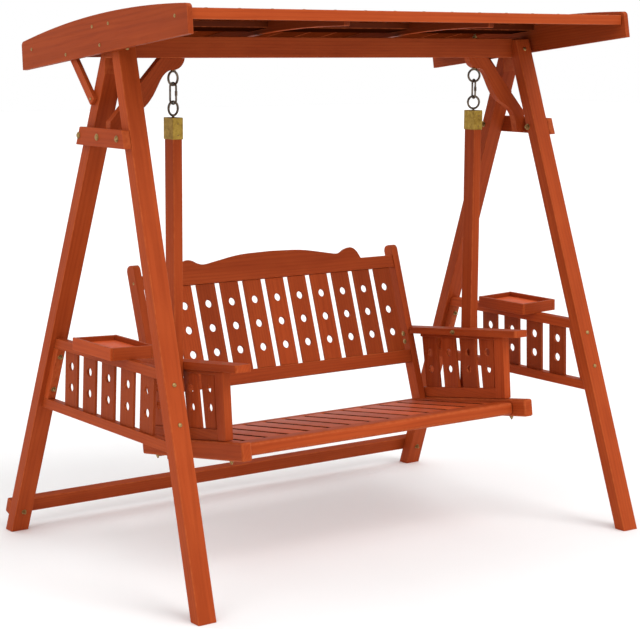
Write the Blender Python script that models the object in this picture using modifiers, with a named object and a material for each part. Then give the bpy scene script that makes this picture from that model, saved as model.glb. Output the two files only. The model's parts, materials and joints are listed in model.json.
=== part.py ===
"""Canopy swing bench: a slatted two-seat bench that hangs from a timber stand with a small arched canopy.

Metres, +Z up, +X to the right of someone facing the bench, -Y to the front. The origin is on the ground,
under the middle of the overall box. The two end frames lean inwards, so each is built upright under an
empty that is tilted about Y. The bench hangs under an empty on its own swing axis.
"""

import math

import bmesh
import bpy
from mathutils import Matrix, Vector

OBJECT_NAME = "canopy_swing_bench"
GAP = 0.0003

# Stand
STAND_HALF_WIDTH = 0.861
END_FRAME_LEAN = math.radians(2.06)
LEG_WIDTH = 0.060
LEG_DEPTH = 0.0444
FRONT_FOOT_Y = -0.600
REAR_FOOT_Y = 0.594
FRONT_LEG_SLOPE = 0.325
REAR_LEG_SLOPE = 0.375
BEAM_Y = -0.0345
BEAM_THICKNESS = 0.042
BEAM_BOTTOM_Z = 1.546
BEAM_TOP_Z = 1.610
CROSS_PLATE_THICKNESS = 0.025
CROSS_PLATE_Z = (1.290, 1.344)
STRETCHER_SECTION = (0.028, 0.050)
STRETCHER_BOTTOM_Z = 0.051
BRACE_THICKNESS = 0.025

# Side panels and trays of the end frames
PANEL_BOTTOM_Z = 0.4455
PANEL_TOP_Z = 0.677
PANEL_RAIL_HEIGHT = 0.031
PANEL_FRAME_THICKNESS = 0.028
PANEL_POST_WIDTH = 0.028
PANEL_SLAT_COUNT = 5
PANEL_SLAT_PITCH = 0.1145
PANEL_SLAT_WIDTH = 0.0755
PANEL_SLAT_THICKNESS = 0.009
PANEL_MIDDLE_Y = -0.0205
PANEL_HOLE_RADIUS = 0.014
PANEL_HOLE_Z = (0.535, 0.601)
TRAY_SIZE = (0.150, 0.230, 0.038)
TRAY_Y = -0.0425
TRAY_WALL = 0.010
TRAY_FLOOR = 0.023

# Canopy
STRUT_THICKNESS = 0.014
STRUT_WIDTH = 0.028
STRUT_ENDS = ((0.0435, 1.427), (0.170, 1.5535))
ARCH_THICKNESS = 0.017
ARCH_FRONT = (-0.5085, 1.698)
ARCH_REAR = (0.461, 1.588)
ARCH_RISE = 0.029
ARCH_BOTTOM_FRONT = (-0.5185, 1.6165)
ARCH_BOTTOM_REAR = (0.4505, 1.5025)
ARCH_CORNER_RADIUS = 0.014
ROOF_TOP_DROP = 0.012
ROOF_THICKNESS = 0.009
CANOPY_HALF_LENGTH = 0.8135
FASCIA_Y = (-0.499, -0.479)
FASCIA_BOTTOM_Z = 1.655
REAR_RAIL_Y = (0.392, 0.414)
REAR_RAIL_HEIGHT = 0.034
RIDGE_BOARD_WIDTH = 0.112
RIDGE_BOARD_THICKNESS = 0.020
RAFTER_X = 0.275
RAFTER_THICKNESS = 0.020
RAFTER_DEPTH = 0.035

# Hanging hardware; the rings and links are turned about the vertical, each side towards the middle
CHAIN_X = 0.591
CHAIN_Y = -0.0395
CHAIN_TURN = math.radians(16.5)
RING_RADIUS = 0.0205
RING_WIRE = 0.0035
UPPER_AXIS_Z = 1.466
LOWER_AXIS_Z = 1.4175
LINK_WIRE = 0.003
LINK_HALF_WIDTH = 0.012
LINK_PLAY = 0.0005
SHANK_RADIUS = 0.004
NUT_RADIUS = 0.0075
NUT_HEIGHT = 0.007

# Bench: seat plane and lines, as height at LINES_Y and slope along Y
LINES_Y = -0.0345
SEAT_TOP_Z = 0.3817
SEAT_SLOPE = -0.150
DECK_SLOPE = -0.130
ARM_TOP_Z = 0.6285
ARM_SLOPE = -0.110
ARM_THICKNESS = 0.0225
ARM_FRONT_Y = -0.353
ARM_INNER_X = 0.518
ARM_REAR_Y = 0.250
SIDE_RAIL_X = (0.539, 0.5745)
SIDE_RAIL_HEIGHT = 0.057
SIDE_RAIL_RISE = 0.004
SIDE_RAIL_LENGTH = (-0.351, 0.232)
FRONT_RAIL_SPAN = (-0.295, -0.218)
BACK_RAIL_SPAN = (0.1517, 0.186)
SEAT_RAIL_HEIGHT = 0.0400
BACK_RAIL_HEIGHT = 0.034
SEAT_SLAT_COUNT = 12
SEAT_SLAT_PITCH = 0.0793
SEAT_SLAT_WIDTH = 0.0635
SEAT_END_SLAT_X = (0.4837, 0.5110)
SEAT_SLAT_THICKNESS = 0.016
FRONT_BATTEN = (0.080, 0.033)
REAR_BATTEN = (0.016, 0.018)

# Backrest, in a frame that leans back with its origin at the foot of the stiles' front faces
BACK_LEAN = math.atan(0.334)
STILE_FOOT = (0.1059, 0.3036)
STILE_X = (0.513, 0.5385)
STILE_DEPTH = 0.045
STILE_LENGTH = 0.616
CREST_BOTTOM = 0.5345
CREST_END_TOP = 0.577
CREST_BUMP_TOP = 0.617
CREST_DIP_TOP = 0.599
CREST_PEAK_TOP = 0.6265
CREST_X = (0.269, 0.334, 0.373)
CREST_THICKNESS = 0.020
BACK_BOTTOM_RAIL = (0.1913, 0.2362)
BACK_INSET = 0.003
BACK_SLAT_COUNT = 11
BACK_SLAT_PITCH = 0.0916
BACK_SLAT_WIDTH = 0.0715
BACK_SLAT_THICKNESS = 0.009
BACK_HOLE_RADIUS = 0.0135
BACK_HOLE_HEIGHTS = (0.3058, 0.3868, 0.4678)

# Arms and hangers
ARM_POST_X = (0.540, 0.567)
ARM_POST_BOTTOM_Y = -0.286
ARM_POST_LEAN = 0.085
ARM_POST_DEPTH = 0.045
ARM_PANEL_X = (0.545, 0.565)
ARM_PANEL_SLAT_THICKNESS = 0.009
ARM_PANEL_SLAT_Y = (-0.2005, -0.101, -0.0015, 0.098)
ARM_PANEL_SLAT_WIDTH = 0.075
ARM_PANEL_LEAN = 0.13
ARM_PANEL_LOWER_RAIL = 0.034
ARM_PANEL_UPPER_RAIL = 0.012
ARM_HOLE_RADIUS = 0.013
ARM_HOLE_HEIGHTS = (0.0975, 0.1545)
HANGER_X = (0.5752, 0.6068)
HANGER_DEPTH = 0.051
HANGER_Z = (0.322, 1.3690)
CAP_WALL = 0.0015
CAP_HEIGHT = 0.065

ARC_STEPS = 8
EDGE_ROUND = 0.003


# ---------------------------------------------------------------------------------------- scene helpers


def clear_scene():
    for obj in list(bpy.data.objects):
        bpy.data.objects.remove(obj, do_unlink=True)


def new_collection(name):
    collection = bpy.data.collections.new(name)
    bpy.context.scene.collection.children.link(collection)
    return collection


def material(name, colour, roughness, metallic=0.0):
    made = bpy.data.materials.new(name)
    made.use_nodes = True
    shader = made.node_tree.nodes["Principled BSDF"]
    shader.inputs["Base Color"].default_value = (*colour, 1.0)
    shader.inputs["Roughness"].default_value = roughness
    shader.inputs["Metallic"].default_value = metallic
    return made


def add_object(name, mesh, finish, parent, matrix=None):
    obj = bpy.data.objects.new(name, mesh)
    PARTS.objects.link(obj)
    mesh.materials.append(finish)
    obj.parent = parent
    obj.matrix_local = matrix or Matrix.Identity(4)
    return obj


def add_empty(name, location, rotation=(0.0, 0.0, 0.0), parent=None):
    empty = bpy.data.objects.new(name, None)
    PARTS.objects.link(empty)
    empty.parent = parent
    empty.location = location
    empty.rotation_euler = rotation
    return empty


def as_helper(obj):
    """Turns an object into a hidden operand of a Boolean."""
    PARTS.objects.unlink(obj)
    CUTTERS.objects.link(obj)
    obj.hide_render = True
    obj.display_type = "WIRE"
    return obj


def boolean(obj, other, operation):
    modifier = obj.modifiers.new(operation.lower(), "BOOLEAN")
    modifier.operation = operation
    modifier.solver = "EXACT"
    modifier.object = other


def round_edges(obj, width=EDGE_ROUND, segments=2):
    modifier = obj.modifiers.new("round", "BEVEL")
    modifier.width = width
    modifier.segments = segments
    modifier.limit_method = "ANGLE"
    modifier.angle_limit = math.radians(40)


# ---------------------------------------------------------------------------------------- shape helpers


def box_mesh(name, low, high):
    """A box between two corners."""
    size = Vector(high) - Vector(low)
    middle = (Vector(high) + Vector(low)) / 2
    shape = bmesh.new()
    bmesh.ops.create_cube(shape, size=1.0, matrix=Matrix.LocRotScale(middle, None, size))
    mesh = bpy.data.meshes.new(name)
    shape.to_mesh(mesh)
    shape.free()
    return mesh


def plank(name, low, high, parent, finish=None, rounded=EDGE_ROUND):
    obj = add_object(name, box_mesh(name, low, high), finish or WOOD, parent)
    if rounded:
        round_edges(obj, rounded)
    return obj


def mirrored(span, side):
    """An X span on the right, turned into the same span on the given side."""
    return (span[0], span[1]) if side > 0 else (-span[1], -span[0])


def outline_mesh(name, loops, thickness):
    """A flat board from closed loops of 2D points: the first is the outline, the others are openings."""
    curve = bpy.data.curves.new(name, "CURVE")
    curve.dimensions = "2D"
    curve.fill_mode = "BOTH"
    curve.extrude = thickness / 2
    for loop in loops:
        spline = curve.splines.new("POLY")
        spline.points.add(len(loop) - 1)
        for point, (x, y) in zip(spline.points, loop):
            point.co = (x, y, 0.0, 1.0)
        spline.use_cyclic_u = True
    guide = bpy.data.objects.new(name, curve)
    bpy.context.scene.collection.objects.link(guide)
    graph = bpy.context.evaluated_depsgraph_get()
    mesh = bpy.data.meshes.new_from_object(guide.evaluated_get(graph))
    bpy.data.objects.remove(guide, do_unlink=True)
    bpy.data.curves.remove(curve)
    shape = bmesh.new()
    shape.from_mesh(mesh)
    bmesh.ops.remove_doubles(shape, verts=shape.verts, dist=1e-5)
    bmesh.ops.recalc_face_normals(shape, faces=shape.faces)
    shape.to_mesh(mesh)
    shape.free()
    mesh.name = name
    mesh.materials.clear()
    return mesh


def facing_x(x):
    """Places a flat board upright across X: its outline is given in Y and Z."""
    return Matrix(((0, 0, 1, x), (1, 0, 0, 0), (0, 1, 0, 0), (0, 0, 0, 1)))


def facing_y(y):
    """Places a flat board upright across Y: its outline is given in X and Z."""
    return Matrix(((1, 0, 0, 0), (0, 0, -1, y), (0, 1, 0, 0), (0, 0, 0, 1)))


def side_board(name, loops, x_span, parent, finish=None, rounded=EDGE_ROUND):
    """A board whose outline lies in the YZ plane and whose thickness is the X span."""
    mesh = outline_mesh(name, loops, x_span[1] - x_span[0])
    obj = add_object(name, mesh, finish or WOOD, parent, facing_x(sum(x_span) / 2))
    if rounded:
        round_edges(obj, rounded)
    return obj


def front_board(name, loops, y_span, parent, rounded=EDGE_ROUND):
    """A board whose outline lies in the XZ plane and whose thickness is the Y span."""
    mesh = outline_mesh(name, loops, y_span[1] - y_span[0])
    obj = add_object(name, mesh, WOOD, parent, facing_y(sum(y_span) / 2))
    if rounded:
        round_edges(obj, rounded)
    return obj


def arc(centre, radius, start, end, steps=ARC_STEPS):
    """Points round a centre from one angle to another, in degrees."""
    return [
        (
            centre[0] + radius * math.cos(math.radians(start + (end - start) * i / steps)),
            centre[1] + radius * math.sin(math.radians(start + (end - start) * i / steps)),
        )
        for i in range(steps + 1)
    ]


def smooth(points, steps=5):
    """Points along a smooth curve through the given ones."""
    padded = [points[0]] + list(points) + [points[-1]]
    result = []
    for i in range(len(points) - 1):
        a, b, c, d = (Vector(p) for p in padded[i : i + 4])
        for k in range(steps):
            t = k / steps
            result.append(
                tuple(0.5 * (2 * b + (c - a) * t + (2 * a - 5 * b + 4 * c - d) * t**2 + (3 * b - a - 3 * c + d) * t**3))
            )
    return result + [tuple(points[-1])]


def mirrored_outline(points, side):
    return [(side * x, z) for x, z in points]


def rod_mesh(name, start, end, radius, sides=16):
    """A round bar between two points."""
    axis = Vector(end) - Vector(start)
    turn = axis.to_track_quat("Z", "Y").to_matrix().to_4x4()
    place = Matrix.Translation((Vector(start) + Vector(end)) / 2) @ turn
    shape = bmesh.new()
    bmesh.ops.create_cone(
        shape, cap_ends=True, segments=sides, radius1=radius, radius2=radius, depth=axis.length, matrix=place
    )
    mesh = bpy.data.meshes.new(name)
    shape.to_mesh(mesh)
    shape.free()
    return mesh


def joined_mesh(name, meshes):
    """Several closed shapes kept as one mesh, for use as the operand of a Boolean."""
    shape = bmesh.new()
    for mesh in meshes:
        shape.from_mesh(mesh)
    joined = bpy.data.meshes.new(name)
    shape.to_mesh(joined)
    shape.free()
    return joined


def helper(name, meshes, parent, matrix=None):
    return as_helper(add_object(name, joined_mesh(name, meshes), HELPER, parent, matrix))


def drill(obj, name, rods, parent):
    """Cuts round holes, each given as its two end points and radius."""
    meshes = [rod_mesh(name, start, end, radius) for start, end, radius in rods]
    boolean(obj, helper(name, meshes, parent), "DIFFERENCE")


# ---------------------------------------------------------------------------------------- end frames


def front_leg_y(z, depth=0.0):
    return FRONT_FOOT_Y + FRONT_LEG_SLOPE * z + depth


def rear_leg_y(z, depth=0.0):
    return REAR_FOOT_Y - REAR_LEG_SLOPE * z - depth


def outer_x(z):
    """Distance of the legs' outer faces from the middle, at a height."""
    return STAND_HALF_WIDTH - math.tan(END_FRAME_LEAN) * z


def end_frame_span(side, inner, outer):
    """An X span in an end frame, measured outwards from the legs' outer faces."""
    return mirrored((inner, outer), side)


def make_legs(side, label, frame):
    below = -0.02
    front_face = BEAM_Y - BEAM_THICKNESS / 2 - GAP
    rear_face = BEAM_Y + BEAM_THICKNESS / 2 + GAP
    front_cut_z = (front_face - FRONT_FOOT_Y - LEG_DEPTH) / FRONT_LEG_SLOPE
    rear_cut_z = (REAR_FOOT_Y - LEG_DEPTH - rear_face) / REAR_LEG_SLOPE
    span = end_frame_span(side, -LEG_WIDTH, 0.0)
    outlines = {
        "leg_front": [
            (front_leg_y(below), below),
            (front_leg_y(below, LEG_DEPTH), below),
            (front_face, front_cut_z),
            (front_face, BEAM_TOP_Z),
            (front_leg_y(BEAM_TOP_Z), BEAM_TOP_Z),
        ],
        "leg_rear": [
            (rear_leg_y(below), below),
            (rear_leg_y(BEAM_TOP_Z), BEAM_TOP_Z),
            (rear_face, BEAM_TOP_Z),
            (rear_face, rear_cut_z),
            (rear_leg_y(below, LEG_DEPTH), below),
        ],
    }
    for name, outline in outlines.items():
        leg = side_board(f"{name}_{label}", [outline], span, frame)
        boolean(leg, GROUND, "DIFFERENCE")


def make_cross_plate(side, label, frame):
    low, high = CROSS_PLATE_Z
    outline = [
        (front_leg_y(low), low),
        (rear_leg_y(low), low),
        (rear_leg_y(high), high),
        (front_leg_y(high), high),
    ]
    span = end_frame_span(side, GAP, CROSS_PLATE_THICKNESS)
    side_board(f"cross_plate_{label}", [outline], span, frame)


def make_side_panel(side, label, frame):
    """Slatted panel between the legs at arm height: two rails, two end posts and drilled slats in one frame."""
    low, high = PANEL_BOTTOM_Z, PANEL_TOP_Z
    inner_low, inner_high = low + PANEL_RAIL_HEIGHT, high - PANEL_RAIL_HEIGHT
    front = LEG_DEPTH + GAP
    rear = LEG_DEPTH + GAP
    outline = [
        (front_leg_y(low, front), low),
        (rear_leg_y(low, rear), low),
        (rear_leg_y(high, rear), high),
        (front_leg_y(high, front), high),
    ]
    window = [
        (front_leg_y(inner_low, front + PANEL_POST_WIDTH), inner_low),
        (rear_leg_y(inner_low, rear + PANEL_POST_WIDTH), inner_low),
        (rear_leg_y(inner_high, rear + PANEL_POST_WIDTH), inner_high),
        (front_leg_y(inner_high, front + PANEL_POST_WIDTH), inner_high),
    ]
    middle = -LEG_WIDTH / 2
    half = PANEL_FRAME_THICKNESS / 2
    panel = side_board(
        f"side_panel_{label}", [outline, window], end_frame_span(side, middle - half, middle + half), frame, rounded=0
    )
    slats = []
    holes = []
    slat_x = mirrored((middle - PANEL_SLAT_THICKNESS / 2, middle + PANEL_SLAT_THICKNESS / 2), side)
    for i in range(PANEL_SLAT_COUNT):
        y = PANEL_MIDDLE_Y + (i - (PANEL_SLAT_COUNT - 1) / 2) * PANEL_SLAT_PITCH
        low_corner = (slat_x[0], y - PANEL_SLAT_WIDTH / 2, inner_low - 0.010)
        high_corner = (slat_x[1], y + PANEL_SLAT_WIDTH / 2, inner_high + 0.010)
        slats.append(box_mesh("slat", low_corner, high_corner))
        for z in PANEL_HOLE_Z:
            holes.append(((slat_x[0] - 0.02, y, z), (slat_x[1] + 0.02, y, z), PANEL_HOLE_RADIUS))
    boolean(panel, helper(f"side_panel_slats_{label}", slats, frame), "UNION")
    drill(panel, f"side_panel_holes_{label}", holes, frame)


def make_tray(side, label, frame):
    """Open box on the side panel's top rail."""
    half_x, half_y = TRAY_SIZE[0] / 2, TRAY_SIZE[1] / 2
    middle_x = -side * LEG_WIDTH / 2
    bottom = PANEL_TOP_Z + GAP
    top = bottom + TRAY_SIZE[2]
    tray = plank(
        f"tray_{label}",
        (middle_x - half_x, TRAY_Y - half_y, bottom),
        (middle_x + half_x, TRAY_Y + half_y, top),
        frame,
        rounded=0.002,
    )
    hollow = box_mesh(
        "hollow",
        (middle_x - half_x + TRAY_WALL, TRAY_Y - half_y + TRAY_WALL, bottom + TRAY_FLOOR),
        (middle_x + half_x - TRAY_WALL, TRAY_Y + half_y - TRAY_WALL, top + 0.02),
    )
    boolean(tray, helper(f"tray_hollow_{label}", [hollow], frame), "DIFFERENCE")


def make_strut(side, label, frame):
    (y0, z0), (y1, z1) = STRUT_ENDS
    along = Vector((y1 - y0, z1 - z0)).normalized()
    across = Vector((-along.y, along.x)) * STRUT_WIDTH / 2
    foot = Vector((y0, z0)) - along * 0.012
    head = Vector((y1, z1)) + along * 0.014
    outline = [tuple(foot - across), tuple(head - across), tuple(head + across), tuple(foot + across)]
    span = end_frame_span(side, GAP, STRUT_THICKNESS)
    side_board(f"canopy_strut_{label}", [outline], span, frame, rounded=0.002)


def make_beam():
    """Top beam between the end frames, its ends cut to the legs' lean."""
    low, high = BEAM_BOTTOM_Z, BEAM_TOP_Z
    outline = [(-outer_x(low), low), (outer_x(low), low), (outer_x(high), high), (-outer_x(high), high)]
    half = BEAM_THICKNESS / 2
    beam = front_board("ridge_beam", [outline], (BEAM_Y - half, BEAM_Y + half), None)
    holes = [
        ((side * CHAIN_X, CHAIN_Y, low - 0.02), (side * CHAIN_X, CHAIN_Y, high + 0.02), SHANK_RADIUS + GAP)
        for side in (-1, 1)
    ]
    drill(beam, "beam_holes", holes, None)


def make_stretcher():
    """Low rail across the backs of the rear legs, lying along their slope."""
    tilt = math.atan(REAR_LEG_SLOPE)
    thickness, height = STRETCHER_SECTION
    foot = add_empty(
        "stretcher_seat", (0.0, rear_leg_y(STRETCHER_BOTTOM_Z), STRETCHER_BOTTOM_Z), (tilt, 0.0, 0.0)
    )
    half = outer_x(STRETCHER_BOTTOM_Z + height)
    plank("lower_stretcher", (-half, GAP, 0.0), (half, thickness, height), foot)


def brace_outline():
    """Knee brace on the right: straight upper edge, bulge for the eye bolt, lower edge swept down to the foot."""
    top = BEAM_BOTTOM_Z - GAP
    foot_top, foot_bottom = 1.363, 1.292
    bulge = [(0.557, top), (0.5605, 1.534), (0.569, 1.522), (0.581, 1.514), (0.593, 1.511), (0.607, 1.510)]
    sweep = [(0.620, 1.5045), (0.632, 1.494), (0.643, 1.478), (0.667, 1.436), (0.694, 1.405)]
    foot = [(0.725, 1.387), (0.750, 1.370), (0.766, 1.349), (0.775, 1.322), (0.780, foot_bottom)]
    foot_x_low = outer_x(foot_bottom) - 2 * GAP
    foot_x_high = outer_x(foot_top) - 2 * GAP
    curve = smooth(bulge + sweep + foot, 3)
    return curve + [(foot_x_low, foot_bottom), (foot_x_high, foot_top), (0.641, top)]


def make_brace(side, label):
    half = BRACE_THICKNESS / 2
    outline = mirrored_outline(brace_outline(), side)
    brace = front_board(f"knee_brace_{label}", [outline], (CHAIN_Y - half, CHAIN_Y + half), None, rounded=0.002)
    x = side * CHAIN_X
    hole = ((x, CHAIN_Y, 1.49), (x, CHAIN_Y, BEAM_BOTTOM_Z + 0.02), SHANK_RADIUS + GAP)
    drill(brace, f"knee_brace_hole_{label}", [hole], None)


# ---------------------------------------------------------------------------------------- canopy


def arch_circle():
    """Centre and radius of the canopy's top line, from its two ends and its rise."""
    front, rear = Vector(ARCH_FRONT), Vector(ARCH_REAR)
    chord = rear - front
    radius = chord.length**2 / (8 * ARCH_RISE) + ARCH_RISE / 2
    up = Vector((-chord.y, chord.x)).normalized()
    return (front + rear) / 2 + up * (ARCH_RISE - radius), radius


def arch_z(y, drop=0.0):
    """Height of the canopy's top line at y, or of a line that runs a drop below it."""
    centre, radius = arch_circle()
    return centre.y + math.sqrt((radius - drop) ** 2 - (y - centre.x) ** 2)


def arch_line(start, end, drop=0.0, steps=16):
    return [
        (start + (end - start) * i / steps, arch_z(start + (end - start) * i / steps, drop)) for i in range(steps + 1)
    ]


def make_arch(side, label, frame):
    """End board of the canopy: curved top, straight bottom, both top corners rounded."""
    r = ARCH_CORNER_RADIUS
    front_y, rear_y = ARCH_FRONT[0], ARCH_REAR[0]
    outline = [ARCH_BOTTOM_FRONT, ARCH_BOTTOM_REAR]
    outline += arc((rear_y - r, arch_z(rear_y - r) - r), r, 0, 78, 4)
    outline += arch_line(rear_y - r, front_y + r, steps=20)[1:-1]
    outline += arc((front_y + r, arch_z(front_y + r) - r), r, 92, 180, 4)
    span = end_frame_span(side, STRUT_THICKNESS + GAP, STRUT_THICKNESS + ARCH_THICKNESS)
    side_board(f"canopy_arch_{label}", [outline], span, frame)


def make_canopy():
    half = CANOPY_HALF_LENGTH
    under = ROOF_TOP_DROP + ROOF_THICKNESS
    across = (-half, half)

    fascia_top = arch_z(FASCIA_Y[1], ROOF_TOP_DROP)
    plank("canopy_front_rail", (-half, FASCIA_Y[0], FASCIA_BOTTOM_Z), (half, FASCIA_Y[1], fascia_top), None)

    rear_top = arch_z(REAR_RAIL_Y[1], under + GAP)
    plank(
        "canopy_rear_rail", (-half, REAR_RAIL_Y[0], rear_top - REAR_RAIL_HEIGHT), (half, REAR_RAIL_Y[1], rear_top), None
    )

    ridge = (BEAM_Y - RIDGE_BOARD_WIDTH / 2, BEAM_Y + RIDGE_BOARD_WIDTH / 2)
    ridge_under = under + GAP + RIDGE_BOARD_THICKNESS
    outline = arch_line(*ridge, under + GAP, 4) + arch_line(ridge[1], ridge[0], ridge_under, 4)
    side_board("canopy_ridge_board", [outline], across, None, rounded=0.002)

    roof_start, roof_end = FASCIA_Y[1] + GAP, REAR_RAIL_Y[1] + 0.016
    outline = arch_line(roof_start, roof_end, ROOF_TOP_DROP, 20) + arch_line(roof_end, roof_start, under, 20)
    side_board("canopy_roof", [outline], across, None, rounded=0)

    start, end = FASCIA_Y[1] + GAP, REAR_RAIL_Y[0] - GAP
    bottom = under + GAP + RAFTER_DEPTH
    notch_drop = ridge_under + GAP
    top = arch_line(start, ridge[0] - GAP, under + GAP, 8)
    top += arch_line(ridge[0] - GAP, ridge[1] + GAP, notch_drop, 2)
    top += arch_line(ridge[1] + GAP, end, under + GAP, 8)
    outline = top + arch_line(end, start, bottom, 16)
    for side, label in SIDES:
        x = side * RAFTER_X
        span = (x - RAFTER_THICKNESS / 2, x + RAFTER_THICKNESS / 2)
        side_board(f"canopy_rafter_{label}", [outline], span, None, rounded=0)


# ---------------------------------------------------------------------------------------- hanging hardware


def ring_mesh(name, radius, wire, around=24, sides=10):
    """A round ring in the XZ plane."""
    shape = bmesh.new()
    bmesh.ops.create_circle(shape, segments=sides, radius=wire, matrix=Matrix.Translation((radius, 0, 0)))
    bmesh.ops.spin(
        shape,
        geom=shape.verts[:] + shape.edges[:],
        cent=(0, 0, 0),
        axis=(0, 1, 0),
        angle=math.tau,
        steps=around,
        use_merge=True,
    )
    bmesh.ops.remove_doubles(shape, verts=shape.verts, dist=1e-6)
    bmesh.ops.recalc_face_normals(shape, faces=shape.faces)
    mesh = bpy.data.meshes.new(name)
    shape.to_mesh(mesh)
    shape.free()
    return mesh


def eye_bolt(name, place, shank_length, nut_height, parent):
    """A ring with a threaded shank. Its origin is where the ring bears, and the shank points along local Z."""
    mesh = ring_mesh(name, RING_RADIUS, RING_WIRE)
    mesh.transform(Matrix.Translation((0.0, 0.0, RING_RADIUS)))
    bolt = add_object(name, mesh, BRONZE, parent, place)
    top_wire = 2 * RING_RADIUS
    shank = rod_mesh("shank", (0, 0, top_wire), (0, 0, top_wire + shank_length), SHANK_RADIUS)
    boolean(bolt, helper(f"{name}_shank", [shank], parent, place), "UNION")
    if nut_height:
        nut = rod_mesh("nut", (0, 0, nut_height), (0, 0, nut_height + NUT_HEIGHT), NUT_RADIUS, 6)
        boolean(bolt, helper(f"{name}_nut", [nut], parent, place), "UNION")


def make_link(name, x, parent, turn):
    """Closed quick link across the rings, hanging from the upper ring's wire to below the lower one's."""
    top = RING_WIRE + LINK_PLAY + LINK_WIRE - LINK_HALF_WIDTH
    bottom = -(UPPER_AXIS_Z - LOWER_AXIS_Z) - RING_WIRE - LINK_PLAY - LINK_WIRE + LINK_HALF_WIDTH
    path = arc((0.0, top), LINK_HALF_WIDTH, 0, 180, 10) + arc((0.0, bottom), LINK_HALF_WIDTH, 180, 360, 10)
    curve = bpy.data.curves.new(name, "CURVE")
    curve.dimensions = "3D"
    curve.bevel_depth = LINK_WIRE
    curve.bevel_resolution = 2
    spline = curve.splines.new("POLY")
    spline.points.add(len(path) - 1)
    for point, (y, z) in zip(spline.points, path):
        point.co = (0.0, y, z, 1.0)
    spline.use_cyclic_u = True
    curve.materials.append(BRONZE)
    obj = bpy.data.objects.new(name, curve)
    PARTS.objects.link(obj)
    obj.parent = parent
    obj.location = (x, 0.0, 0.0)
    obj.rotation_euler = (0.0, 0.0, turn)
    return obj


# ---------------------------------------------------------------------------------------- bench


def seat_z(y):
    return SEAT_TOP_Z + SEAT_SLOPE * (y - LINES_Y)


def rail_top_z(y):
    return seat_z(y) + SIDE_RAIL_RISE / math.cos(math.atan(SEAT_SLOPE))


def arm_top_z(y):
    return ARM_TOP_Z + ARM_SLOPE * (y - LINES_Y)


def arm_bottom_z(y):
    return arm_top_z(y) - ARM_THICKNESS / math.cos(math.atan(ARM_SLOPE))


def make_seat(bench):
    """Side rails and deck, built level under empties that tip them back. The deck is the flatter of the two."""
    pivot = (0.0, LINES_Y - CHAIN_Y, SEAT_TOP_Z - LOWER_AXIS_Z)
    seat = add_empty("seat_tilt", pivot, (math.atan(SEAT_SLOPE), 0.0, 0.0), bench)
    level = add_empty("deck_tilt", pivot, (math.atan(DECK_SLOPE), 0.0, 0.0), bench)
    for side, label in SIDES:
        x = mirrored(SIDE_RAIL_X, side)
        plank(
            f"seat_side_rail_{label}",
            (x[0], SIDE_RAIL_LENGTH[0], SIDE_RAIL_RISE - SIDE_RAIL_HEIGHT),
            (x[1], SIDE_RAIL_LENGTH[1], SIDE_RAIL_RISE),
            seat,
            rounded=0.006,
        )
    inner = SIDE_RAIL_X[0] - GAP
    low, high = FRONT_RAIL_SPAN
    plank("seat_front_rail", (-inner, low, -SEAT_RAIL_HEIGHT), (inner, high, 0.0), level, rounded=0.009)
    inner = STILE_X[0] - GAP
    low, high = BACK_RAIL_SPAN
    plank("seat_back_rail", (-inner, low, -BACK_RAIL_HEIGHT), (inner, high, 0.0), level, rounded=0.004)

    start, end = FRONT_RAIL_SPAN[1] + GAP, BACK_RAIL_SPAN[0] - GAP
    under = -SEAT_SLAT_THICKNESS
    half = STILE_X[0] - GAP
    battens = []
    for near, far, height in (
        (start, start + FRONT_BATTEN[0], FRONT_BATTEN[1]),
        (end - REAR_BATTEN[0], end, REAR_BATTEN[1]),
    ):
        battens.append(box_mesh("batten", (-half, near, under - height), (half, far, under + 0.001)))
    spans = [mirrored(SEAT_END_SLAT_X, side) for side, label in SIDES]
    for i in range(SEAT_SLAT_COUNT):
        x = (i - (SEAT_SLAT_COUNT - 1) / 2) * SEAT_SLAT_PITCH
        spans.append((x - SEAT_SLAT_WIDTH / 2, x + SEAT_SLAT_WIDTH / 2))
    slats = [box_mesh("slat", (x0, start, under), (x1, end, -0.001)) for x0, x1 in spans]
    deck = add_object("seat_slats", joined_mesh("seat_slats", slats), WOOD, level)
    boolean(deck, helper("seat_battens", battens, level), "UNION")


def crest_outline():
    """Crest rail: raised middle, a dip and a bump on each side, low flat ends."""
    dip_x, bump_x, end_x = CREST_X
    half = STILE_X[0] - GAP
    right = [
        (0.0, CREST_PEAK_TOP),
        (dip_x * 0.45, CREST_PEAK_TOP - 0.004),
        (dip_x * 0.80, CREST_DIP_TOP + 0.009),
        (dip_x, CREST_DIP_TOP),
        (bump_x - 0.040, CREST_DIP_TOP + 0.005),
        (bump_x - 0.022, CREST_BUMP_TOP - 0.0035),
        (bump_x - 0.007, CREST_BUMP_TOP),
        (bump_x + 0.008, CREST_BUMP_TOP - 0.001),
        (bump_x + 0.020, CREST_BUMP_TOP - 0.008),
        (bump_x + 0.030, CREST_END_TOP + 0.019),
        (end_x, CREST_END_TOP),
    ]
    right = smooth(right, 4) + [(half, CREST_END_TOP), (half, CREST_BOTTOM)]
    left = [(-x, z) for x, z in reversed(right) if x > 0]
    return right + left


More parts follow.
